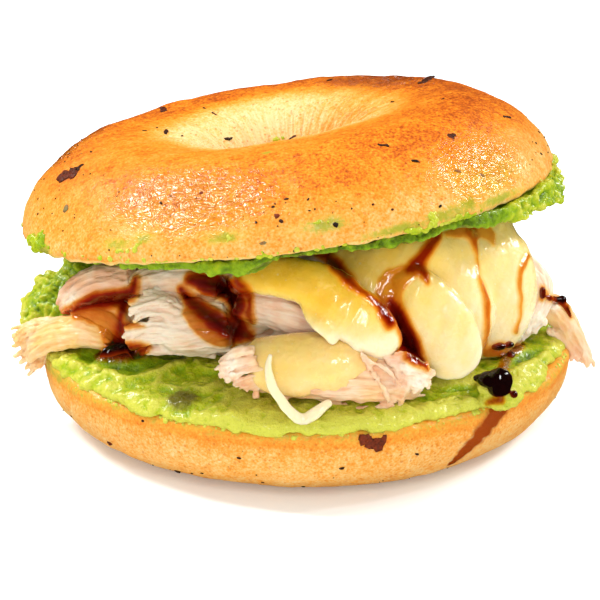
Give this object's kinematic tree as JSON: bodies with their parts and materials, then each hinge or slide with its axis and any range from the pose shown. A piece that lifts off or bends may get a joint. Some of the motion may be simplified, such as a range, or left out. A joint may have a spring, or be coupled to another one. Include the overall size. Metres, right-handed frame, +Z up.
{
  "type": "bagel sandwich",
  "caption": "Cut ring-shaped bread roll filled with mashed avocado, pulled chicken, melted cheese and a dark sauce, its upper half resting askew on the filling.",
  "frame": {"origin": "centre of the bounding box at the flat underside that the sandwich stands on", "axes": "+Z up, +X to the right of the side with the melted cheese, +Y to the back"},
  "size_m": [0.1229, 0.1116, 0.0679],
  "materials": {
    "crust": "satin baked crust",
    "avocado": "moist mash",
    "chicken": "moist fibres",
    "cheese": "glossy melted",
    "sauce": "wet and glossy"
  },
  "bodies": {
    "root": {"bagel_bottom": "crust", "bagel_top": "crust", "avocado_lower": "avocado", "avocado_upper": "avocado", "chicken_heap": "chicken", "chicken_left_strip": "chicken", "chicken_upper_left": "chicken", "chicken_sauced_left": "chicken", "chicken_mid_left": "chicken", "chicken_under_lid": "chicken", "chicken_centre": "chicken", "chicken_front": "chicken", "chicken_right_chunk": "chicken", "chicken_right_strip": "chicken", "chicken_back_strip": "chicken", "cheese_front_melt": "cheese", "cheese_left_slice": "cheese", "cheese_right_slice": "cheese", "cheese_back_fold": "cheese"}
  },
  "joints": []
}
